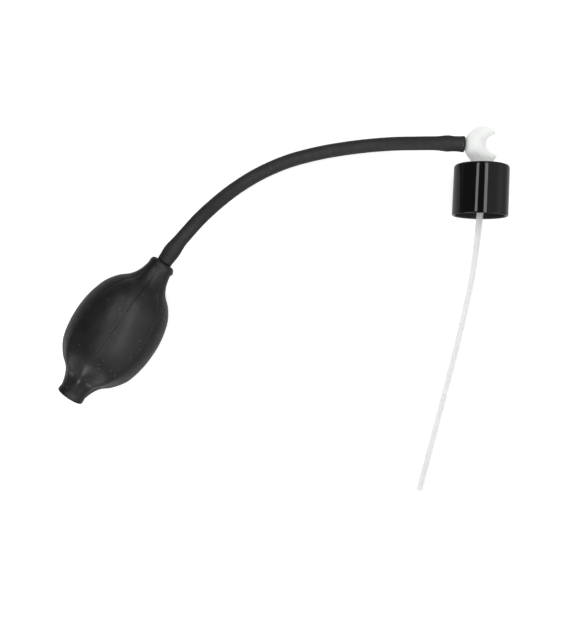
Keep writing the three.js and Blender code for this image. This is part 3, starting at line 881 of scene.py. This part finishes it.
def screw_cap():
    inner_top = CAP_HEIGHT - CAP_TOP_THICKNESS
    wall_r = CAP_MOUTH_R - CAP_WALL
    hole_r = STEM_R + GAP
    edge_r = CAP_TOP_R - CAP_EDGE_R
    edge_y = CAP_HEIGHT - CAP_EDGE_R
    mouth_r = CAP_MOUTH_R - MOUTH_EDGE_R
    top = [
        (edge_r + CAP_EDGE_R * math.cos(a), edge_y + CAP_EDGE_R * math.sin(a))
        for a in np.linspace(0, math.pi / 2, CAP_EDGE_STEPS + 1)
    ]
    mouth = [
        (mouth_r + MOUTH_EDGE_R * math.sin(a), MOUTH_EDGE_R * (1 - math.cos(a)))
        for a in np.linspace(0, math.pi / 2, MOUTH_EDGE_STEPS + 1)
    ]
    side = [
        (CAP_MOUTH_R + (CAP_TOP_R - CAP_MOUTH_R) * y / CAP_HEIGHT, y)
        for y in np.linspace(CAP_SIDE_START, edge_y - CAP_SIDE_END, CAP_SIDE_RINGS)
    ]
    inner_r = CAP_TOP_R - CAP_WALL
    outline = mouth + side + top + [
        (hole_r + CAP_HOLE_EDGE, CAP_HEIGHT), (hole_r, CAP_HEIGHT - CAP_HOLE_EDGE), (hole_r, inner_top),
        (inner_r - CAP_INNER_CORNER, inner_top), (inner_r, inner_top - CAP_INNER_CORNER),
    ]
    threaded_wall = [(wall_r, y) for y in np.linspace(THREAD_ZONE_TOP, CAP_LIP, THREAD_ZONE_RINGS)]
    outline += threaded_wall
    angles = np.arange(CAP_SIDES) * 2 * math.pi / CAP_SIDES
    points = []
    for i, (radius, y) in enumerate(outline):
        threaded = i >= len(outline) - len(threaded_wall)
        for angle in angles:
            r = radius - (thread_height(angle, y) if threaded else 0.0)
            points.append(HEAD + Vector((r * math.cos(angle), y, -r * math.sin(angle))))
    cap = add_piece("bottle_cap", points, grid_faces(len(outline), CAP_SIDES, close_rows=True),
                    "cap_gloss", "cap", "screw_cap")
    flip_if_inside_out(cap)


# ---------------------------------------------------------------- stem, seals and nozzle


def stem():
    flange_top = CAP_HEIGHT - CAP_TOP_THICKNESS - GAP
    socket_r = DIP_TUBE_R + GAP
    outline = [
        (socket_r, BOSS_BOTTOM), (BOSS_R, BOSS_BOTTOM), (BOSS_R, flange_top - FLANGE_THICKNESS),
        (FLANGE_R, flange_top - FLANGE_THICKNESS), (FLANGE_R, flange_top), (STEM_R, flange_top),
        (STEM_R, STEM_TOP), (SPIGOT_R, STEM_TOP), (SPIGOT_R, RING_GROOVE_BOTTOM),
        (RING_GROOVE_R, RING_GROOVE_BOTTOM), (RING_GROOVE_R, RING_GROOVE_TOP),
        (SPIGOT_R, RING_GROOVE_TOP), (SPIGOT_R, SPIGOT_TOP), (STEM_PORT_R, SPIGOT_TOP),
        (STEM_PORT_R, DIP_TUBE_SOCKET_TOP), (socket_r, DIP_TUBE_SOCKET_TOP),
    ]
    turned("stem", rounded(outline, STEM_ROUND), ON_HEAD, "white_plastic", "pump", "stem_fitment")


def gasket():
    top = CAP_HEIGHT - CAP_TOP_THICKNESS - FLANGE_THICKNESS - 2 * GAP
    inner_r = BOSS_R + GAP
    bottom = top - GASKET_THICKNESS
    outline = [(inner_r, bottom), (FLANGE_R, bottom), (FLANGE_R, top), (inner_r, top)]
    turned("cap_liner", rounded(outline, GASKET_ROUND), ON_HEAD, "gasket_foam", "pump", "neck_gasket")


def nozzle():
    outline = [
        (NOZZLE_ORIFICE_R, NOZZLE_END), (NOZZLE_R, NOZZLE_END), (NOZZLE_R, -NOZZLE_WAIST_HALF),
        (NOZZLE_WAIST_R, -NOZZLE_WAIST_HALF), (NOZZLE_WAIST_R, NOZZLE_WAIST_HALF),
        (NOZZLE_R, NOZZLE_WAIST_HALF), (NOZZLE_R, NOZZLE_START), (NOZZLE_ORIFICE_R, NOZZLE_START),
    ]
    turned("nozzle", rounded(outline, NOZZLE_ROUND), ON_CROSS_AXIS, "white_plastic", "pump",
           "spray_nozzle", sides=NOZZLE_SIDES)


# ---------------------------------------------------------------- ball head, a field turned into a mesh


def soft_max(a, b, blend):
    """The larger of two fields, with the edge between them rounded over that width."""
    nearness = np.clip(blend - np.abs(a - b), 0, None) / blend
    return np.maximum(a, b) + blend * nearness**2 / 4


def bore_field(points, axis, radius, low, high):
    """Negative inside a drilling along an axis through the ball's middle, between two places."""
    along = points[..., axis]
    others = [k for k in range(3) if k != axis]
    away = np.hypot(points[..., others[0]], points[..., others[1]]) - radius
    return np.maximum(away, np.maximum(low - along, along - high))


def head_field(points):
    """Negative inside the ball head. The points are measured from the ball's middle."""
    ball = np.linalg.norm(points, axis=-1) - BALL_R
    from_notch = np.hypot(points[..., 0] - NOTCH_X, points[..., 1] - NOTCH_RISE) - (NOTCH_R + NOTCH_WALL_R)
    notch_wall = np.hypot(np.minimum(from_notch, 0), points[..., 2]) - NOTCH_WALL_R
    around_stem = np.hypot(points[..., 0], points[..., 2]) - SKIRT_R
    height = points[..., 1] + BALL_Y
    skirt = np.maximum(around_stem, np.maximum(height - SKIRT_TOP, SKIRT_BOTTOM - height))
    field = -soft_max(-soft_max(ball, notch_wall, NOTCH_EDGE_R), -skirt, SKIRT_FILLET)
    pocket_r = NOZZLE_R + GAP
    drillings = [
        (1, STEM_R + STEM_FIT, -2 * BALL_R, STEM_TOP + GAP - BALL_Y),
        (1, SPIGOT_R + GAP, STEM_TOP - BALL_Y, SPIGOT_TOP + GAP - BALL_Y),
        (1, STEM_PORT_R, SPIGOT_TOP - BALL_Y, -pocket_r / 2),
        (0, HOSE_BARB_R + GAP, -2 * BALL_R, GAP - HOSE_BARB_INNER),
        (0, AIR_PORT_R, -HOSE_BARB_INNER, -NOZZLE_START),
        (0, pocket_r, -NOZZLE_START - GAP, NOTCH_X),
    ]
    for axis, radius, low, high in drillings:
        field = soft_max(field, -bore_field(points, axis, radius, low, high), DRILL_EDGE)
    return field


def mesh_of_field(field, half_size, cell):
    """The field's zero surface as quads: one point in each cell that the surface crosses."""
    ticks = np.arange(-half_size, half_size + cell, cell)
    count = len(ticks)
    grid = np.stack(np.meshgrid(ticks, ticks, ticks, indexing="ij"), axis=-1)
    values = field(grid)
    inside = values < 0
    sums = np.zeros((count - 1,) * 3 + (3,))
    crossings = np.zeros((count - 1,) * 3)
    quads = []
    for axis in range(3):
        first = [slice(None)] * 3
        second = [slice(None)] * 3
        first[axis], second[axis] = slice(0, -1), slice(1, None)
        a, b = values[tuple(first)], values[tuple(second)]
        starts = np.argwhere(inside[tuple(first)] != inside[tuple(second)])
        u, v = [k for k in range(3) if k != axis]
        for i in starts:
            low, high = a[tuple(i)], b[tuple(i)]
            place = ticks[i].copy()
            place[axis] += cell * low / (low - high)
            around = []
            for du, dv in ((0, 0), (-1, 0), (-1, -1), (0, -1)):
                owner = i.copy()
                owner[u] += du
                owner[v] += dv
                sums[tuple(owner)] += place
                crossings[tuple(owner)] += 1
                around.append(tuple(owner))
            quads.append(around if (low < 0) == (axis != 1) else around[::-1])
    used = np.argwhere(crossings > 0)
    index = {tuple(cell_id): k for k, cell_id in enumerate(used)}
    points = sums[tuple(used.T)] / crossings[tuple(used.T)][:, None]
    return points, [[index[c] for c in quad] for quad in quads]


def settle(points, field, rounds=4, probe=0.01 * MM, least_steepness=0.1):
    """Moves each point along the field's slope onto its zero surface."""
    for _ in range(rounds):
        slope = np.stack([
            (field(points + probe * np.eye(3)[k]) - field(points - probe * np.eye(3)[k])) / (2 * probe)
            for k in range(3)
        ], axis=-1)
        steepness = np.maximum((slope**2).sum(axis=-1), least_steepness)
        points = points - slope * (field(points) / steepness)[:, None]
    return points


def head_ball():
    points, faces = mesh_of_field(head_field, HEAD_REACH, HEAD_CELL)
    points = settle(points, head_field) + np.array(HEAD + HEAD_AXIS * BALL_Y)
    piece = add_piece("spray_head", points, faces, "white_plastic", "pump", "head_ball")
    flip_if_inside_out(piece)


# ---------------------------------------------------------------- dip tube


def dip_tube():
    path, _ = even_path(DIP_TUBE_ROUTE, DIP_TUBE_STEP)
    outer = rings_along(path, np.full(len(path), DIP_TUBE_R), DIP_TUBE_SIDES)
    inner = rings_along(path, np.full(len(path), DIP_TUBE_BORE_R), DIP_TUBE_SIDES)
    rings = np.concatenate([outer, inner[::-1]])
    faces = grid_faces(len(rings), DIP_TUBE_SIDES, close_rows=True)
    piece = add_piece("dip_tube_clear", rings.reshape(-1, 3), faces, "clear_plastic", "pump", "dip_tube")
    flip_if_inside_out(piece)


# ---------------------------------------------------------------- the CAD's own inner pieces


def dress_inner_pieces():
    """Pieces that stay as the CAD made them, sealed inside, with this file's materials."""
    slots = {
        "hose_connector": "valve_plastic", "inlet_valve_cage": "valve_plastic",
        "outlet_valve_body": "valve_plastic", "outlet_valve_cage": "valve_plastic",
        "hose_barb": "valve_plastic", "inlet_valve_ball": "steel", "outlet_valve_ball": "steel",
        "inlet_screen": "steel", "stem_o_ring": "seal_rubber",
    }
    for node, slot in slots.items():
        mesh = bpy.data.objects[node].data
        mesh.materials.clear()
        mesh.materials.append(SLOT_MATERIALS[slot])


# ---------------------------------------------------------------- the whole scene

make_camera()
air_hose()
bulb_shell()
inlet_valve()
screw_cap()
stem()
gasket()
nozzle()
head_ball()
dip_tube()
dress_inner_pieces()
make_world()
make_floor()
make_lights()
bpy.context.scene.view_settings.view_transform = "Standard"
